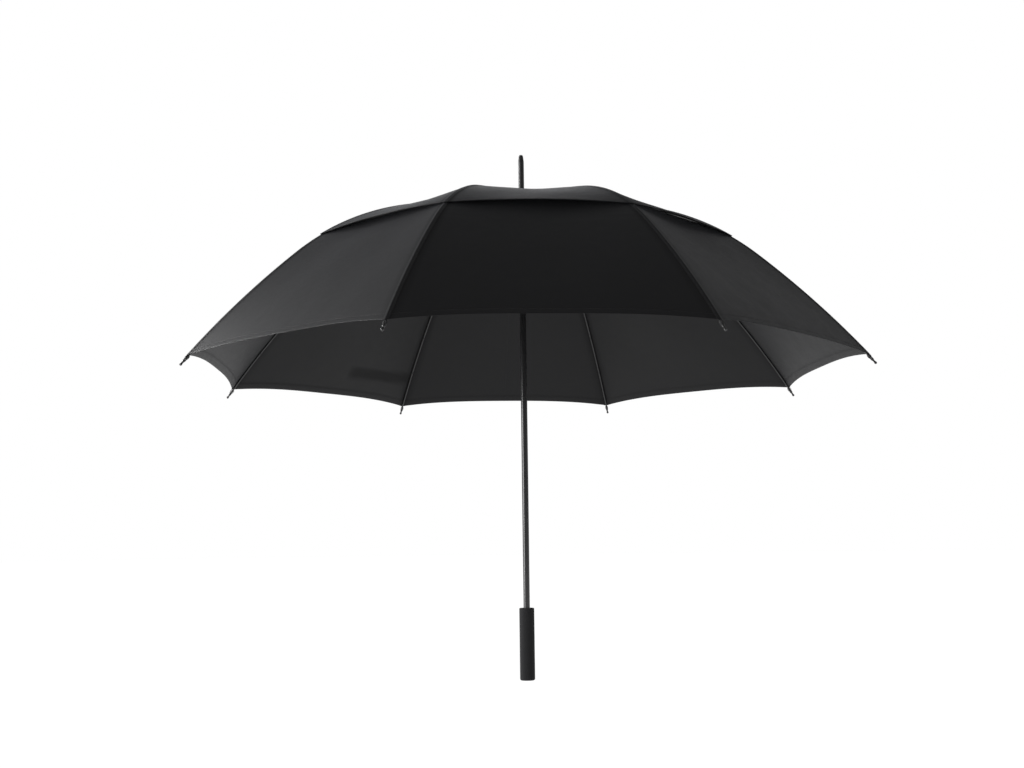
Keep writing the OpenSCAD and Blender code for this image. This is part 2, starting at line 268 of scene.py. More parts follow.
class Layer:
    """A layer of the canopy. A place on it is a slope along the rib, and v from -1 to 1 between the middles
    of the two gores beside the rib."""

    def __init__(self, name, inner, hem, cut, off, puffs):
        self.name = name
        self.inner = inner
        self.hem = hem
        self.cut = cut
        self.off = off
        self.puffs = puffs

    def span(self, v):
        """The slope from the inner edge to the hem at v."""
        return self.hem - self.cut * (1 - (1 - np.abs(v)) ** 3) - self.inner

    def slope(self, t, v):
        """The slope at share t of the way to the hem."""
        return self.inner + self.span(v) * t

    def point(self, slope, v, up=0.0, rib=None):
        """Points in the rib's frame, up from the layer's face. With a rib, the waves of its gores count."""
        slope, v = np.broadcast_arrays(np.asarray(slope, float), np.asarray(v, float))
        radius, height = seam_at(slope, self.off + up)
        a = np.abs(v)
        t = (slope - self.inner) / self.span(v)
        start, end, middle = self.puffs
        lift = (start + (end - start) * t**3 + 4 * middle * t * (1 - t)) * a * (2 - a)
        if rib is not None:
            lift = lift + gore_waves(self, slope, t, v, rib)
        chord = radius * math.sin(HALF_STEP)
        lean = v * HALF_STEP
        out = radius - a * chord * math.sin(HALF_STEP) + lift * np.sin(slope) * np.cos(lean)
        across = v * chord * math.cos(HALF_STEP) + lift * np.sin(slope) * np.sin(lean)
        return np.stack([out, across, height + lift * np.cos(slope)], axis=-1)

    def reach(self):
        """The length along the seam from the inner edge to the hem."""
        return float(seam_length(self.hem) - seam_length(self.inner))

    def chord(self, slope):
        """Half the straight distance between two ribs at a slope."""
        return seam_at(slope, self.off)[0] * math.sin(HALF_STEP)

    def at_distance(self, slope, across):
        """v for a distance sideways from the rib's plane, kept inside the gore."""
        half_gore = self.chord(slope) * math.cos(HALF_STEP)
        return GORE_LIMIT * np.tanh(across / (GORE_LIMIT * half_gore))


def gore_waves(layer, slope, t, v, rib):
    """Soft waves and sewing puckers, the same on both sides of a gore's middle. They vanish at the seams."""
    z = canopy()
    gore = np.where(v > 0, rib, rib - 1) % RIBS
    g = np.where(v > 0, v - 1, v + 1)
    phase = 2.4 * gore + (1.1 if layer.name == "vent" else 0.0)
    inside = 1 - g * g
    soft = np.sin(5.1 * g + 3.7 * t + phase) + 0.6 * np.sin(2.3 * g - 7.9 * t + 1.7 * phase)
    crowd = np.exp(-t / 0.12) * np.cos(11 * g + phase) if layer.name == "vent" else 0.0
    ends = np.clip(4 * t, 0, 1) * np.clip(4 * (1 - t), 0.3, 1)
    along = seam_length(slope)
    near = np.abs(v) * layer.chord(slope) / PUCKER_REACH
    pull = near * np.exp(1 - near) * np.sin(along * 2 * math.pi / PUCKER_PITCH + phase)
    return z.wave * inside * (soft * ends + 0.5 * crowd) + z.pucker * pull * inside


def lower_layer():
    """The large layer, from its opening out to the corners."""
    z = canopy()
    return Layer("lower", slope_at(z.opening_radius), z.corner_slope, z.hem_scallop / z.outer_arc, 0.0,
                 (-0.002, 0.0, -z.lower_sag + 0.001))


def vent_layer():
    """The small layer over the opening."""
    z = canopy()
    return Layer("vent", slope_at(z.vent_inner), slope_at(z.vent_radius), 0.0, z.vent_lift,
                 (0.0, z.vent_billow, -z.vent_sag + 0.001))


# ---------------------------------------------------------------- meshes


def put(name, mesh):
    """A new object for a mesh, in the scene's collection."""
    piece = bpy.data.objects.new(name, mesh)
    bpy.context.scene.collection.objects.link(piece)
    return piece


def mesh_of(name, points, faces):
    """A mesh from points and faces."""
    mesh = bpy.data.meshes.new(name)
    mesh.from_pydata([tuple(p) for p in points], [], [tuple(f) for f in faces])
    mesh.update()
    return mesh


def volume_of(points, quads):
    """The volume inside closed quads, positive where they point outwards."""
    a, b, c, d = (points[quads[:, i]] for i in range(4))
    return float((a * np.cross(b, c)).sum() + (a * np.cross(c, d)).sum()) / 6


def double_sheet(name, top, under, cut, backed=None):
    """A closed sheet between two grids of points. cut holds each grid point's place on the flat cloth, and the
    last argument how much painted shade darkens each point where another layer lies against it."""
    rows, columns = top.shape[:2]
    ids = np.arange(rows * columns).reshape(rows, columns)
    low = ids + rows * columns

    def quads(a, b, c, d):
        return np.stack([x.ravel() for x in (a, b, c, d)], axis=1)

    faces = np.concatenate([
        quads(ids[:-1, :-1], ids[:-1, 1:], ids[1:, 1:], ids[1:, :-1]),
        quads(low[:-1, :-1], low[1:, :-1], low[1:, 1:], low[:-1, 1:]),
        quads(ids[0, :-1], low[0, :-1], low[0, 1:], ids[0, 1:]),
        quads(ids[-1, :-1], ids[-1, 1:], low[-1, 1:], low[-1, :-1]),
        quads(ids[:-1, 0], ids[1:, 0], low[1:, 0], low[:-1, 0]),
        quads(ids[:-1, -1], low[:-1, -1], low[1:, -1], ids[1:, -1]),
    ])
    points = np.concatenate([top.reshape(-1, 3), under.reshape(-1, 3)])
    if volume_of(points, faces) < 0:
        faces = faces[:, ::-1]
    mesh = mesh_of(name, points, faces)
    corner = np.zeros(len(mesh.loops), int)
    mesh.loops.foreach_get("vertex_index", corner)
    flat = np.concatenate([cut.reshape(-1, 2)] * 2)
    layer = mesh.uv_layers.new(name="cut")
    layer.data.foreach_set("uv", flat[corner].astype(np.float32).ravel())
    # Painted shade: a point attribute by which the cloth's finish is darkened.
    if backed is not None:
        against = mesh.attributes.new("backed", "FLOAT", "POINT")
        against.data.foreach_set("value", np.concatenate([backed.ravel()] * 2).astype(np.float32))
    mesh.shade_smooth()
    mesh.set_sharp_from_angle(angle=SHARP_EDGE)
    return mesh


def grid_normals(grid):
    """The unit normal at each point of a grid, upwards."""
    normal = np.cross(np.gradient(grid, axis=0), np.gradient(grid, axis=1))
    normal *= np.sign(normal @ UP)[..., None]
    return normal / np.linalg.norm(normal, axis=-1, keepdims=True)


def tube(line, radius, sides=6):
    """Points and faces of a tube of thread along a line of points, with small closed ends."""
    line = np.asarray(line, float)
    ahead = np.gradient(line, axis=0)
    ahead /= np.linalg.norm(ahead, axis=1, keepdims=True)
    off_line = np.array([0.31, 0.22, 0.93])
    side = np.cross(ahead, off_line)
    side /= np.linalg.norm(side, axis=1, keepdims=True)
    other = np.cross(ahead, side)
    size = np.full(len(line), radius)
    size[[0, -1]] = radius * 0.15
    turn = np.linspace(0, 2 * math.pi, sides, endpoint=False)
    ring = np.cos(turn)[None, :, None] * side[:, None] + np.sin(turn)[None, :, None] * other[:, None]
    points = (line[:, None] + ring * size[:, None, None]).reshape(-1, 3)
    n = len(line)
    faces = [(i * sides + j, i * sides + (j + 1) % sides, (i + 1) * sides + (j + 1) % sides,
              (i + 1) * sides + j) for i in range(n - 1) for j in range(sides)]
    faces += [tuple(range(sides - 1, -1, -1)), tuple((n - 1) * sides + j for j in range(sides))]
    return points, faces


def joined(name, parts):
    """One mesh from several sets of points and faces."""
    points, faces, count = [], [], 0
    for part_points, part_faces in parts:
        points.append(part_points)
        faces += [tuple(i + count for i in face) for face in part_faces]
        count += len(part_points)
    mesh = mesh_of(name, np.concatenate(points), faces)
    mesh.shade_smooth()
    return mesh


# ---------------------------------------------------------------- finishes


class Value:
    """A socket of a material. Arithmetic on it adds Math nodes."""

    def __init__(self, finish, socket):
        self.finish = finish
        self.socket = socket

    def math(self, operation, *inputs):
        return self.finish.add("ShaderNodeMath", {"operation": operation}, dict(enumerate(inputs)))

    def __add__(self, other):
        return self.math("ADD", self, other)

    def __sub__(self, other):
        return self.math("SUBTRACT", self, other)

    def __rsub__(self, other):
        return self.math("SUBTRACT", other, self)

    def __mul__(self, other):
        return self.math("MULTIPLY", self, other)

    def __truediv__(self, other):
        return self.math("DIVIDE", self, other)

    __radd__ = __add__
    __rmul__ = __mul__


class Finish:
    """A material whose nodes are added one by one."""

    def __init__(self, name):
        self.material = bpy.data.materials.new(name)
        self.material.use_nodes = True
        self.tree = self.material.node_tree
        self.tree.nodes.clear()

    def add(self, kind, settings=None, inputs=None, output=0):
        """A node of a kind, its settings first, then values or links by input name or number."""
        node = self.tree.nodes.new(kind)
        for key, value in (settings or {}).items():
            setattr(node, key, value)
        for key, value in (inputs or {}).items():
            if isinstance(value, Value):
                self.tree.links.new(value.socket, node.inputs[key])
            else:
                node.inputs[key].default_value = value
        return Value(self, node.outputs[output])

    def place(self, scale=(1.0, 1.0, 1.0), uv=None):
        """Object coordinates, or a UV map's, scaled."""
        if uv:
            at = self.add("ShaderNodeUVMap", {"uv_map": uv})
        else:
            at = self.add("ShaderNodeTexCoord", output="Object")
        return self.add("ShaderNodeMapping", inputs={"Vector": at, "Scale": scale})

    def noise(self, at, scale, detail=2.0, roughness=0.5):
        return self.add("ShaderNodeTexNoise", inputs={"Vector": at, "Scale": scale, "Detail": detail,
                                                      "Roughness": roughness}, output="Fac")

    def axis(self, at, name):
        return self.add("ShaderNodeSeparateXYZ", inputs={"Vector": at}, output=name)

    def mix(self, factor, first, second):
        """A colour between two."""
        return self.add("ShaderNodeMix", {"data_type": "RGBA"}, {"Factor": factor, 6: first, 7: second},
                        output=2)

    def bump(self, height, distance, strength=1.0, normal=None):
        inputs = {"Height": height, "Distance": distance, "Strength": strength}
        if normal:
            inputs["Normal"] = normal
        return self.add("ShaderNodeBump", inputs=inputs)

    def surface(self, shader):
        """Ends the tree, and gives the material."""
        out = self.tree.nodes.new("ShaderNodeOutputMaterial")
        self.tree.links.new(shader.socket, out.inputs["Surface"])
        return self.material

    def principled(self, **inputs):
        return self.add("ShaderNodeBsdfPrincipled", inputs={k.replace("_", " "): v
                                                            for k, v in inputs.items()})


def rgba(tone, gain=1.0):
    """A colour with its alpha, brighter by gain."""
    return (*(min(1.0, c * gain) for c in tone), 1.0)


def pongee(name, tone):
    """Thin plain-woven cloth with a soft sheen. Where a seam or the strap lies behind it, it is mixed towards a
    darker, duller copy: painted shade for the light that the extra layers hold back.
    """
    f = Finish(name)
    flat = f.place(uv="cut")
    warp = f.axis(flat, "X") * (math.pi / (0.55 * MM))
    weft = f.axis(flat, "Y") * (math.pi / (0.55 * MM))
    weave = warp.math("SINE", warp) * weft.math("SINE", weft)
    slub = f.noise(f.place((900.0, 26.0, 1.0), uv="cut"), 1.0, 3.0)
    cross_slub = f.noise(f.place((26.0, 900.0, 1.0), uv="cut"), 1.0, 3.0)
    crumple = f.noise(f.place(), 9.0, 3.0, 0.45)
    dust = f.noise(f.place(), 55.0, 4.0, 0.6)
    tone_mix = slub * 0.35 + cross_slub * 0.35 + crumple * 0.2 + dust * 0.1
    base = f.mix(tone_mix, rgba(tone, 0.72), rgba(tone, 1.32))
    soft = f.bump(crumple, 2.2 * MM, 0.55)
    fine = f.bump(slub + cross_slub, 0.05 * MM, 0.5, soft)
    normal = f.bump(weave, 0.03 * MM, 0.5, fine)
    cloth = f.principled(Base_Color=base, Roughness=0.47 + 0.1 * dust, Normal=normal,
                         Specular_IOR_Level=0.16, Sheen_Weight=0.05, Sheen_Roughness=0.35,
                         Sheen_Tint=(0.9, 0.92, 1.0, 1.0))
    # Painted shade: a darker, duller copy of the cloth, mixed in where a seam or the strap lies behind it.
    unlit = f.principled(Base_Color=rgba(tone, 0.3), Roughness=0.8, Specular_IOR_Level=0.02)
    backed = f.add("ShaderNodeAttribute", {"attribute_name": "backed"}, output="Fac")
    return f.surface(f.add("ShaderNodeMixShader", inputs={0: 0.4 * backed, 1: cloth, 2: unlit}))


def twisted_thread(name, tone):
    """Polyester sewing thread."""
    f = Finish(name)
    twist = f.noise(f.place(), 2600.0, 1.0)
    base = f.mix(twist, rgba(tone, 0.7), rgba(tone, 1.5))
    return f.surface(f.principled(Base_Color=base, Roughness=0.5 + 0.15 * twist,
                                  Normal=f.bump(twist, 0.06 * MM, 0.6)))


def satin_paint(name, tone):
    """Baked black paint on a metal tube, with a faint orange peel and rubbed streaks along it."""
    f = Finish(name)
    peel = f.noise(f.place(), 700.0, 2.0)
    rubbed = f.noise(f.place((160.0, 160.0, 5.0)), 1.0, 4.0, 0.6)
    base = f.mix(rubbed, rgba(tone, 0.8), rgba(tone, 1.5))
    return f.surface(f.principled(Base_Color=base, Roughness=0.2 + 0.16 * rubbed,
                                  Normal=f.bump(peel, 0.02 * MM, 0.15), Coat_Weight=0.35,
                                  Coat_Roughness=0.12))


def pultruded(name, tone):
    """Resin-bonded glass fibres drawn through a die: fine streaks and a satin skin."""
    f = Finish(name)
    grain = f.noise(f.place(), 420.0, 4.0, 0.65)
    cloud = f.noise(f.place(), 24.0, 2.0)
    base = f.mix(cloud, rgba(tone, 0.75), rgba(tone, 1.5))
    return f.surface(f.principled(Base_Color=base, Roughness=0.27 + 0.16 * grain,
                                  Normal=f.bump(grain, 0.05 * MM, 0.5), Coat_Weight=0.2,
                                  Coat_Roughness=0.2))


def moulded(name, tone):
    """Injection-moulded plastic with a fine spark texture."""
    f = Finish(name)
    spark = f.noise(f.place(), 1500.0, 2.0)
    flow = f.noise(f.place(), 60.0, 3.0)
    base = f.mix(flow, rgba(tone, 0.8), rgba(tone, 1.35))
    return f.surface(f.principled(Base_Color=base, Roughness=0.34 + 0.14 * flow,
                                  Normal=f.bump(spark, 0.04 * MM, 0.6)))


def closed_cell_foam(name, tone):
    """Ground closed-cell foam: small open pores over a soft, matt skin."""
    f = Finish(name)
    at = f.place()
    cells = f.add("ShaderNodeTexVoronoi", {"feature": "F1"}, {"Vector": at, "Scale": 950.0},
                  output="Distance")
    pores = f.noise(at, 420.0, 4.0, 0.7)
    cloud = f.noise(at, 45.0, 3.0)
    height = cells * 0.6 + pores * 0.8
    base = f.mix(pores * 0.6 + cloud * 0.4, rgba(tone, 0.6), rgba(tone, 1.5))
    return f.surface(f.principled(Base_Color=base, Roughness=0.82 + 0.12 * cloud,
                                  Normal=f.bump(height, 0.35 * MM, 0.8), Specular_IOR_Level=0.2,
                                  Sheen_Weight=0.04, Sheen_Roughness=0.5))


def plated_steel(name, tone):
    """Bright plated spring steel, with drawing marks."""
    f = Finish(name)
    marks = f.noise(f.place((90.0, 90.0, 1400.0)), 1.0, 3.0)
    tarnish = f.noise(f.place(), 130.0, 3.0)
    base = f.mix(tarnish, rgba(tone, 0.75), rgba(tone, 1.1))
    return f.surface(f.principled(Base_Color=base, Metallic=1.0, Roughness=0.2 + 0.16 * marks,
                                  Normal=f.bump(marks, 0.02 * MM, 0.4)))


def pale_floor(name, tone):
    """Smooth matt floor."""
    f = Finish(name)
    cloud = f.noise(f.place(), 1.2, 2.0)
    return f.surface(f.principled(Base_Color=f.mix(cloud, rgba(tone, 0.985), rgba(tone)), Roughness=0.9,
                                  Specular_IOR_Level=0.1))


FINISHES = {
    "canopy_cloth": (pongee, "cloth"),
    "vent_cloth": (pongee, "vent"),
    "thread": (twisted_thread, "thread"),
    "shaft_paint": (satin_paint, "paint"),
    "fibreglass": (pultruded, "fibre"),
    "black_plastic": (moulded, "plastic"),
    "foam": (closed_cell_foam, "foam"),
    "steel": (plated_steel, "steel"),
    "pale_floor": (pale_floor, "floor"),
}


def finish(name):
    """The finish of that name, made when it is first asked for."""
    full_name = f"finish_{name}"
    if full_name not in bpy.data.materials:
        make, tone = FINISHES[name]
        make(full_name, tuple(getattr(bpy.context.scene.umbrella_colours, tone)))
    return bpy.data.materials[full_name]


def finished(name, mesh, slot):
    """A piece with one finish, which stands for the record's slot of that name."""
    mesh.materials.clear()
    mesh.materials.append(finish(slot))
    piece = put(name, mesh)
    return piece


# ---------------------------------------------------------------- stitches


def stitch_tree():
    """Geometry nodes that lay stitches end to end along every line of a mesh."""
    if "Stitches" in bpy.data.node_groups:
        return bpy.data.node_groups["Stitches"]
    tree = bpy.data.node_groups.new("Stitches", "GeometryNodeTree")
    face = tree.interface
    face.new_socket("Geometry", in_out="INPUT", socket_type="NodeSocketGeometry")
    for name in ("Pitch", "Length", "Thread"):
        face.new_socket(name, in_out="INPUT", socket_type="NodeSocketFloat")
    face.new_socket("Finish", in_out="INPUT", socket_type="NodeSocketMaterial")
    face.new_socket("Geometry", in_out="OUTPUT", socket_type="NodeSocketGeometry")

    def node(kind, **settings):
        new = tree.nodes.new(kind)
        for key, value in settings.items():
            setattr(new, key, value)
        return new

    link = tree.links.new
    start = node("NodeGroupInput")
    end = node("NodeGroupOutput")
    lines = node("GeometryNodeMeshToCurve")
    spaced = node("GeometryNodeResampleCurve", mode="LENGTH")
    along = node("GeometryNodeInputTangent")
    turned = node("FunctionNodeAlignRotationToVector", axis="X")
    bead = node("GeometryNodeMeshUVSphere")
    bead.inputs["Segments"].default_value = 6
    bead.inputs["Rings"].default_value = 4
    bead.inputs["Radius"].default_value = 0.5
    size = node("ShaderNodeCombineXYZ")
    laid = node("GeometryNodeInstanceOnPoints")
    real = node("GeometryNodeRealizeInstances")
    painted = node("GeometryNodeSetMaterial")
    link(start.outputs["Geometry"], lines.inputs["Mesh"])
    link(lines.outputs["Curve"], spaced.inputs["Curve"])
    link(start.outputs["Pitch"], spaced.inputs["Length"])
    link(along.outputs["Tangent"], turned.inputs["Vector"])
    link(start.outputs["Length"], size.inputs["X"])
    link(start.outputs["Thread"], size.inputs["Y"])
    link(start.outputs["Thread"], size.inputs["Z"])
    link(spaced.outputs["Curve"], laid.inputs["Points"])
    link(bead.outputs["Mesh"], laid.inputs["Instance"])
    link(turned.outputs["Rotation"], laid.inputs["Rotation"])
    link(size.outputs["Vector"], laid.inputs["Scale"])
    link(laid.outputs["Instances"], real.inputs["Geometry"])
    link(real.outputs["Geometry"], painted.inputs["Geometry"])
    link(start.outputs["Finish"], painted.inputs["Material"])
    link(painted.outputs["Geometry"], end.inputs["Geometry"])
    return tree


def stitched(name, lines):
    """A piece of stitches along lines of points, in the row frame."""
    points = np.concatenate(lines)
    edges, first = [], 0
    for line in lines:
        edges += [(first + i, first + i + 1) for i in range(len(line) - 1)]
        first += len(line)
    guide = bpy.data.meshes.new(name)
    guide.from_pydata([tuple(p) for p in points], edges, [])
    piece = put(name, guide)
    modifier = piece.modifiers.new("Stitches", "NODES")
    modifier.node_group = stitch_tree()
    z = sewing()
    values = {"Pitch": z.stitch_pitch, "Length": z.stitch_length, "Thread": z.thread,
              "Finish": finish("thread")}
    for item in modifier.node_group.interface.items_tree:
        if item.in_out == "INPUT" and item.name in values:
            modifier[item.identifier] = values[item.name]
    evaluated = piece.evaluated_get(bpy.context.evaluated_depsgraph_get())
    made = bpy.data.meshes.new_from_object(evaluated)
    piece.modifiers.clear()
    piece.data = made
    made.name = name
    made.shade_smooth()
    return piece


# ---------------------------------------------------------------- cloth pieces


def gather(piece, layer, k, side):
    """Rides a piece of cloth on its rib. It works out an axis and an anchor for gathering the cloth against the
    rib as the umbrella folds, but does not use them.
    """
    lean = FOLD_LEAN[layer.name]
    slopes = np.array([layer.inner, layer.hem])
    radius, height = seam_at(slopes, layer.off)
    chord = np.array([radius[1] - radius[0], 0.0, height[1] - height[0]])
    chord /= np.linalg.norm(chord)
    normal = np.array([-chord[2], 0.0, chord[0]])
    axis = math.cos(lean) * side * ACROSS - math.sin(lean) * normal
    anchor = np.array([radius[1], 0.0, height[1]])
    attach(piece, rib_under(layer, k))
    tuple(to_row(axis, k))
    tuple(to_row(anchor, k))
    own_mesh(piece)
    return piece


def hem_rows(layer, count):
    """Shares of the way from inner edge to hem: even rows, then close ones over the folded hem."""
    z = sewing()
    reach = layer.reach()
    inset = z.stitch_inset
    close = np.array([z.hem_fold + 0.6 * MM, z.hem_fold, inset + 0.9 * MM, inset, inset - 0.9 * MM,
                      inset * 0.5, 1.2 * MM, 0.5 * MM, 0.0])
    even = np.linspace(0, 1 - 1.4 * z.hem_fold / reach, count)
    return np.concatenate([even, 1 - close / reach])


def hem_section(to_hem):
    """How far the face is lifted, and how thick the cloth is, at each distance from the hem."""
    z = sewing()
    cloth = canopy().cloth
    stitch_half = 0.9 * MM
    edge = np.clip(1 - to_hem / stitch_half, 0, 1)
    groove = -0.16 * MM * np.exp(-(((to_hem - z.stitch_inset) / stitch_half) ** 2))
    roll = -0.5 * cloth * edge**2
    folded = np.clip((z.hem_fold + 0.3 * MM - to_hem) / (0.6 * MM), 0, 1)
    depth = cloth * (1 + 1.3 * folded) * (1 - 0.6 * edge)
    return groove + roll, depth


def painted_seam_shade(layer, k, side, slope, v):
    """How much painted shade darkens the cloth at each place, where a seam, or the strap behind it, would hold
    back the light through the cloth.
    """
    z = sewing()
    backed = np.exp(-((v * layer.chord(slope) / z.seam_width) ** 4))
    if layer.name == "lower" and k == STRAP_RIB and side > 0:
        from_middle = np.abs(seam_length(slope) - seam_length(slope_at(z.strap_radius)))
        beside = np.clip(2.2 - 1.4 * from_middle / (z.strap_width / 2), 0, 1)
        before_end = np.clip((z.strap_share - v) / 0.06 + 0.5, 0, 1)
        backed = np.maximum(backed, beside * before_end)
    return backed


def hem_stitches(layer, k, side, tag):
    """The row of stitches along half a gore's hem."""
    v = side * np.linspace(0.02, 1, 40)
    slope = layer.slope(1 - sewing().stitch_inset / layer.reach(), v)
    line = to_row(layer.point(slope, v, 0.02 * MM, rib=k), k)
    return gather(stitched(f"{layer.name}_hem_stitches_{k}{tag}", [line]), layer, k, side)


def wing(layer, k, side):
    """The cloth from rib k to the middle of the gore on one side of it, with its folded hem."""
    rows, columns = 64, 23
    t, v = np.meshgrid(hem_rows(layer, rows), side * np.linspace(0, 1, columns), indexing="ij")
    slope = layer.slope(t, v)
    reach = layer.reach()
    lift, depth = hem_section((1 - t) * reach)
    face = layer.point(slope, v, 0.0, rib=k)
    normal = grid_normals(face)
    top = face + lift[..., None] * normal
    under = face - depth[..., None] * normal
    chord = layer.chord(slope)
    cut = np.stack([v * chord, seam_length(slope)], axis=-1)
    tag = "a" if side < 0 else "b"
    # The last argument is the painted shade where a seam or the strap lies behind the cloth.
    mesh = double_sheet(f"{layer.name}_wing_{k}{tag}", to_row(top, k), to_row(under, k), cut,
                        painted_seam_shade(layer, k, side, slope, v))
    piece = finished(mesh.name, mesh, cloth_of(layer))
    gather(piece, layer, k, side)
    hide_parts(panel_of(layer, k))
    stitches = hem_stitches(layer, k, side, tag)
    return piece


def both_sides(layer):
    """The wings on both sides of every rib."""
    for k in range(1, RIBS + 1):
        for side in (-1, 1):
            wing(layer, k, side)


def felled_seam(layer, k):
    """The seam over a rib, folded and sewn down with two rows of stitches."""
    z = sewing()
    half = z.seam_width / 2
    rows = 70
    slopes = np.linspace(layer.inner + 0.001, layer.hem, rows)
    across = np.array([-1.0, -0.96, -0.62, -0.2, 0.0, 0.2, 0.62, 0.96, 1.0]) * half
    rise = np.array([0.25, 0.8, 0.72, 1.0, 1.0, 1.0, 0.72, 0.8, 0.25]) * z.seam_height
    slope, y = np.meshgrid(slopes, across, indexing="ij")
    v = layer.at_distance(slope, y)
    face = layer.point(slope, v, 0.0, rib=k)
    normal = grid_normals(face)
    top = face + rise[None, :, None] * normal
    under = face + (0.04 * MM) * normal
    cut = np.stack([y, seam_length(slope)], axis=-1)
    mesh = double_sheet(f"{layer.name}_seam_{k}", to_row(top, k), to_row(under, k), cut)
    piece = finished(mesh.name, mesh, cloth_of(layer))
    body = rib_under(layer, k)
    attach(piece, body)
    clear_of_cap = 0.022
    first = layer.inner if layer.name == "lower" else slope_at(clear_of_cap)
    lines = []
    for side in (-1, 1):
        line = np.linspace(first, layer.hem - 0.004, 60)
        place = layer.at_distance(line, side * 0.62 * half)
        lines.append(to_row(layer.point(line, place, 0.72 * z.seam_height, rib=k), k))
    stitches = stitched(f"{layer.name}_seam_stitches_{k}", lines)
    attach(stitches, body)
    reach = layer.reach()
    return piece


# ---------------------------------------------------------------- operators


class UMBRELLA_OT_stage(bpy.types.Operator):
    """Makes the camera, the pale floor and the soft lights"""

    bl_idname = "umbrella.stage"
    bl_label = "Stage"

    def execute(self, context):
        z = context.scene.umbrella_stage
        camera = bpy.data.objects.new("camera", bpy.data.cameras.new("camera"))
        context.scene.collection.objects.link(camera)
        camera.data.lens = z.lens
        camera.data.sensor_width = 36.0
        camera.location = (z.distance * math.sin(z.azimuth), -z.distance * math.cos(z.azimuth), z.eye_height)
        look = Euler((math.pi / 2 + z.pitch, 0.0, z.turn), "XYZ").to_matrix()
        camera.rotation_euler = (look @ Matrix.Rotation(z.roll, 3, "Z")).to_euler()
        context.scene.camera = camera
        self.floor(z)
        self.lights(context)
        context.scene.view_settings.view_transform = "Standard"
        return {"FINISHED"}

    def floor(self, z):
        """A wide disc below the handle."""
        reach, sides = 60.0, 96
        turn = np.linspace(0, 2 * math.pi, sides, endpoint=False)
        ring = np.stack([reach * np.cos(turn), reach * np.sin(turn), np.full(sides, -z.floor_drop)], axis=1)
        disc = put("floor", mesh_of("floor", ring, [tuple(range(sides))]))
        disc.data.materials.append(finish("pale_floor"))

    def lights(self, context):
        """Soft lights, the strongest on the left, and a surround that looks white but lights weakly."""
        world = bpy.data.worlds.new("surround")
        context.scene.world = world
        world.use_nodes = True
        tree = world.node_tree
        tree.nodes.clear()
        out = tree.nodes.new("ShaderNodeOutputWorld")
        seen = tree.nodes.new("ShaderNodeBackground")
        seen.inputs["Strength"].default_value = 1.0
        seen.inputs["Color"].default_value = (1.0, 1.0, 1.0, 1.0)
        lit = tree.nodes.new("ShaderNodeBackground")
        lit.inputs["Strength"].default_value = 0.2
        lit.inputs["Color"].default_value = (1.0, 1.0, 1.0, 1.0)
        path = tree.nodes.new("ShaderNodeLightPath")
        mix = tree.nodes.new("ShaderNodeMixShader")
        tree.links.new(path.outputs["Is Camera Ray"], mix.inputs[0])
        tree.links.new(lit.outputs[0], mix.inputs[1])
        tree.links.new(seen.outputs[0], mix.inputs[2])
        tree.links.new(mix.outputs[0], out.inputs["Surface"])
        soft = [
            ("key_left", (-3.1, -0.9, 0.9), (-0.45, 0.0, 0.62), 2.4, 110.0),
            ("back_left", (-2.9, 1.5, 1.7), (-0.6, -0.2, 0.6), 1.2, 84.0),
            ("back", (0.1, 2.8, 2.5), (0.0, -0.1, 0.85), 1.3, 5.0),
            ("back_right", (2.4, 2.3, 2.1), (0.3, 0.0, 0.75), 1.6, 2.0),
            ("fill_right", (3.3, -0.8, 1.5), (0.4, 0.0, 0.62), 2.2, 6.0),
        ]
        rest = bpy.data.collections.new("all_but_the_floor")
        rest.objects.link(bpy.data.objects["floor"])
        rest.collection_objects[0].light_linking.link_state = "EXCLUDE"
        for name, place, aim, size, power in soft:
            light = bpy.data.lights.new(name, "AREA")
            light.shape = "DISK"
            light.size = size
            light.energy = power
            lamp = bpy.data.objects.new(name, light)
            context.scene.collection.objects.link(lamp)
            lamp.location = place
            lamp.rotation_euler = (Vector(aim) - Vector(place)).to_track_quat("-Z", "Y").to_euler()
            lamp.light_linking.receiver_collection = rest
        self.light_floor(context)

    def light_floor(self, context):
        """A light from above that falls on the floor alone, so that the floor is white."""
        sun = bpy.data.lights.new("floor_light", "SUN")
        sun.energy = 3.1
        sun.angle = math.radians(40)
        lamp = bpy.data.objects.new("floor_light", sun)
        context.scene.collection.objects.link(lamp)
        only = bpy.data.collections.new("lit_floor")
        only.objects.link(bpy.data.objects["floor"])
        lamp.light_linking.receiver_collection = only
        lamp.light_linking.blocker_collection = only


class UMBRELLA_OT_lower_canopy(bpy.types.Operator):
    """Cuts and hems the large layer, half a gore at a time"""

    bl_idname = "umbrella.lower_canopy"
    bl_label = "Lower canopy"

    def execute(self, context):
        both_sides(lower_layer())
        return {"FINISHED"}


class UMBRELLA_OT_vent(bpy.types.Operator):
    """Cuts and hems the vent layer, half a gore at a time"""

    bl_idname = "umbrella.vent"
    bl_label = "Vent canopy"

    def execute(self, context):
        both_sides(vent_layer())
        return {"FINISHED"}


class UMBRELLA_OT_seams(bpy.types.Operator):
    """Fells the seams over the ribs and sews them"""

    bl_idname = "umbrella.seams"
    bl_label = "Seams"

    def execute(self, context):
        for layer in (lower_layer(), vent_layer()):
            for k in range(1, RIBS + 1):
                felled_seam(layer, k)
        return {"FINISHED"}


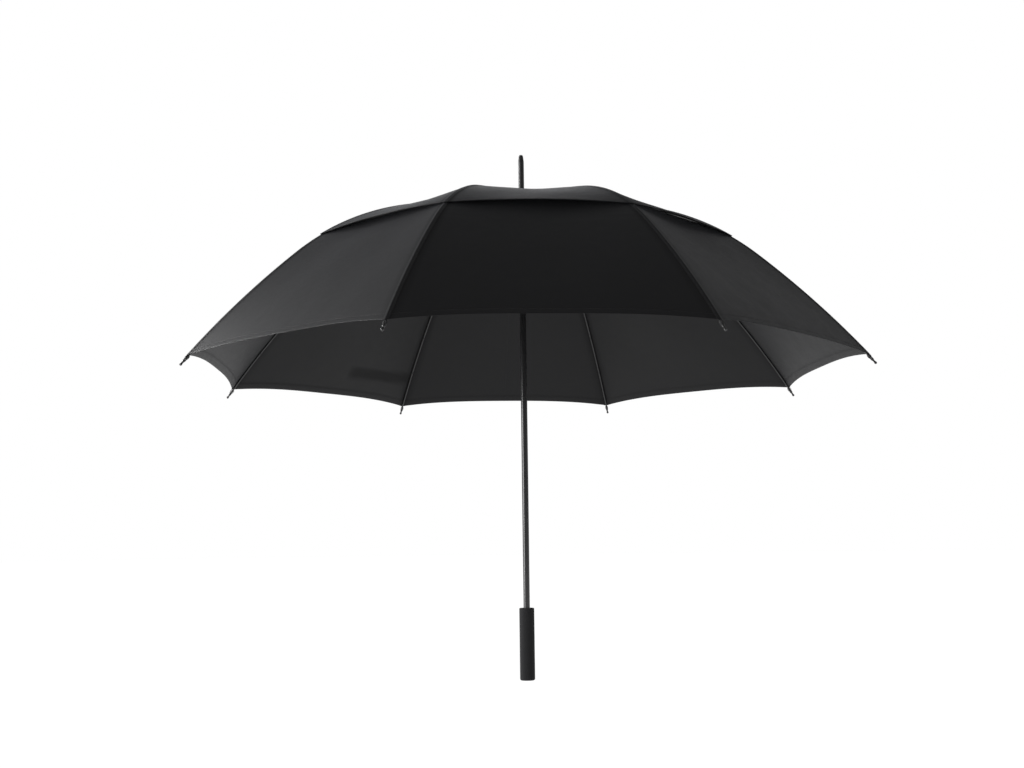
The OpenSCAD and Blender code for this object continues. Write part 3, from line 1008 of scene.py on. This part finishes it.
class UMBRELLA_OT_strap(bpy.types.Operator):
    """Sews the tie strap to its seam and stitches its edges"""

    bl_idname = "umbrella.strap"
    bl_label = "Tie strap"

    def execute(self, context):
        z = sewing()
        layer = lower_layer()
        middle = slope_at(z.strap_radius)
        half = z.strap_width / 2 / canopy().outer_arc
        rows = middle + half * np.array([-1.0, -0.94, -0.8, -0.4, 0.0, 0.4, 0.8, 0.94, 1.0])
        rise = np.array([0.35, 0.9, 1.0, 0.92, 0.92, 0.92, 1.0, 0.9, 0.35]) * 1.5 * MM
        slope, v = np.meshgrid(rows, np.linspace(0.012, z.strap_share, 60), indexing="ij")
        face = layer.point(slope, v, 0.0, rib=STRAP_RIB)
        normal = grid_normals(face)
        end = np.clip((z.strap_share - v) / 0.012, 0.35, 1)
        top = face + (rise[:, None] * end)[..., None] * normal
        under = face + (0.25 * MM) * normal
        cut = np.stack([seam_length(slope), v * layer.chord(slope)], axis=-1)
        mesh = double_sheet("tie_strap_cloth", to_row(top, STRAP_RIB), to_row(under, STRAP_RIB), cut)
        piece = finished("tie_strap_cloth", mesh, "canopy_cloth")
        gather(piece, layer, STRAP_RIB, 1)
        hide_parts("tie_strap")
        lines = []
        for edge in (-0.84, 0.84):
            run = np.linspace(0.02, z.strap_share - 0.012, 40)
            line = layer.point(np.full(40, middle + half * edge), run, 1.55 * MM, rib=STRAP_RIB)
            lines.append(to_row(line, STRAP_RIB))
        for place in (0.03, 0.62, z.strap_share - 0.012):
            run = middle + half * np.linspace(-0.84, 0.84, 8)
            line = layer.point(run, np.full(8, place), 1.5 * MM, rib=STRAP_RIB)
            lines.append(to_row(line, STRAP_RIB))
        stitches = stitched("tie_strap_stitches", lines)
        gather(stitches, layer, STRAP_RIB, 1)
        return {"FINISHED"}


class UMBRELLA_OT_ties(bpy.types.Operator):
    """Ties the cloth to the ribs and binds its corners to the tips with thread"""

    bl_idname = "umbrella.ties"
    bl_label = "Ties"

    def execute(self, context):
        z = canopy()
        inner = [math.radians(7.5), math.radians(18.0)]
        outer = [z.corner_slope - math.radians(6.5), z.corner_slope - math.radians(3.2)]
        for k in range(1, RIBS + 1):
            self.tie(f"inner_ties_{k}", f"rib_inner_{k}", k, inner)
            self.tie(f"outer_ties_{k}", f"rib_outer_{k}", k, outer)
            self.bind(k)
        return {"FINISHED"}

    def tie(self, name, body, k, slopes):
        """Turns of thread round a rib at each slope, close together."""
        turns = sewing().tie_turns
        thread = sewing().thread
        half_width = 1.95 * MM
        half_height = 2.2 * MM
        parts = []
        for slope in slopes:
            along, out = along_and_out(slope)
            turn = np.linspace(0, turns * 2 * math.pi, turns * 20 + 1)
            advance = (turn / turn[-1] - 0.5) * turns * thread * 1.08
            line = (place_under(slope) + advance[:, None] * along
                    + half_width * np.sin(turn)[:, None] * ACROSS
                    + half_height * np.cos(turn)[:, None] * out)
            parts.append(tube(to_row(line, k), thread / 2))
        piece = finished(name, joined(name, parts), "thread")
        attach(piece, body)

    def bind(self, k):
        """Loops of thread over the corner of the cloth and the rib's tip."""
        thread = sewing().thread
        slope = canopy().corner_slope
        along, out = along_and_out(slope)
        centre = place_under(slope) + 2.6 * MM * along
        half_length = 5.2 * MM
        parts = []
        for lean, rise in ((-0.35, 2.48), (-0.12, 3.1), (0.12, 2.48), (0.35, 3.1)):
            turn = np.linspace(0, 2 * math.pi, 41)
            spread = 2.5 * MM * math.copysign(0.75 + abs(lean), lean)
            line = (centre - half_length * np.cos(turn)[:, None] * along
                    + rise * MM * np.sin(turn)[:, None] * out
                    + spread * np.sin(turn * 0.5)[:, None] * ACROSS)
            parts.append(tube(to_row(line, k), thread / 2))
        name = f"corner_binding_{k}"
        piece = finished(name, joined(name, parts), "thread")
        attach(piece, f"rib_outer_{k}")


class UMBRELLA_OT_crown_cap(bpy.types.Operator):
    """Lays the small round cap of cloth under the ferrule's skirt"""

    bl_idname = "umbrella.crown_cap"
    bl_label = "Crown cap"

    def execute(self, context):
        layer = vent_layer()
        radii = np.array([8.6, 12.0, 16.0, 19.0, 20.6, 21.2]) * MM
        face = np.concatenate([self.sector(layer, k, radii) for k in range(1, RIBS + 1)], axis=1)
        face = np.concatenate([face, face[:, :1]], axis=1)
        top = face + 0.45 * MM * UP
        for edge in (0, -1):
            top[edge] -= 0.2 * MM * UP
        mesh = double_sheet("crown_cap", top, face, face[..., :2])
        piece = finished("crown_cap", mesh, "vent_cloth")
        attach(piece, "stick")
        return {"FINISHED"}

    def sector(self, layer, k, radii):
        """The cap over rib k, to halfway to the next rib on both sides, with a pinked edge."""
        steps = 16
        least_radius = 8.2 * MM
        lean = np.linspace(-HALF_STEP, HALF_STEP, steps, endpoint=False)
        ratio = np.tan(np.abs(lean))
        s, c = math.sin(HALF_STEP), math.cos(HALF_STEP)
        v = ratio / (s * c + ratio * s**2)
        shrink = np.cos(lean) / (1 - v * s**2)
        reach = radii[:, None] * shrink
        reach[-1] *= 1 + 0.018 * np.cos(np.arange(steps) * math.pi)
        slopes = np.vectorize(slope_at)(np.maximum(reach, least_radius))
        return to_row(layer.point(slopes, np.copysign(v, lean)[None, :], 0.3 * MM), k)


class UMBRELLA_OT_hardware(bpy.types.Operator):
    """Gives every part of the frame its finish"""

    bl_idname = "umbrella.hardware"
    bl_label = "Frame finishes"

    def execute(self, context):
        slots = {part["node"]: part["material_slot"] for part in frame["record"]["subparts"]}
        for node, part in frame["nodes"].items():
            for place in part.material_slots:
                place.material = finish(slots[node])
        return {"FINISHED"}


class UMBRELLA_PT_panel(bpy.types.Panel):
    """Lists the umbrella's sizes and the steps that make it"""

    bl_idname = "UMBRELLA_PT_panel"
    bl_label = "Golf umbrella"
    bl_space_type = "VIEW_3D"
    bl_region_type = "UI"
    bl_category = "Umbrella"

    def draw(self, context):
        for step in STEPS:
            self.layout.operator(step.bl_idname)
        for name, group in GROUPS.items():
            box = self.layout.box()
            box.label(text=group.__name__)
            for key in group.__annotations__:
                box.prop(getattr(context.scene, name), key)


STEPS = (
    UMBRELLA_OT_stage,
    UMBRELLA_OT_lower_canopy,
    UMBRELLA_OT_vent,
    UMBRELLA_OT_seams,
    UMBRELLA_OT_strap,
    UMBRELLA_OT_ties,
    UMBRELLA_OT_crown_cap,
    UMBRELLA_OT_hardware,
)


def register():
    for kind in (*GROUPS.values(), *STEPS, UMBRELLA_PT_panel):
        bpy.utils.register_class(kind)
    for name, group in GROUPS.items():
        setattr(bpy.types.Scene, name, PointerProperty(type=group))


def unregister():
    for name in GROUPS:
        delattr(bpy.types.Scene, name)
    for kind in (UMBRELLA_PT_panel, *reversed(STEPS), *GROUPS.values()):
        bpy.utils.unregister_class(kind)


def main():
    """Registers the add-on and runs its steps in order."""
    register()
    for step in STEPS:
        group, name = step.bl_idname.split(".")
        getattr(getattr(bpy.ops, group), name)()


if __name__ == "__main__":
    main()
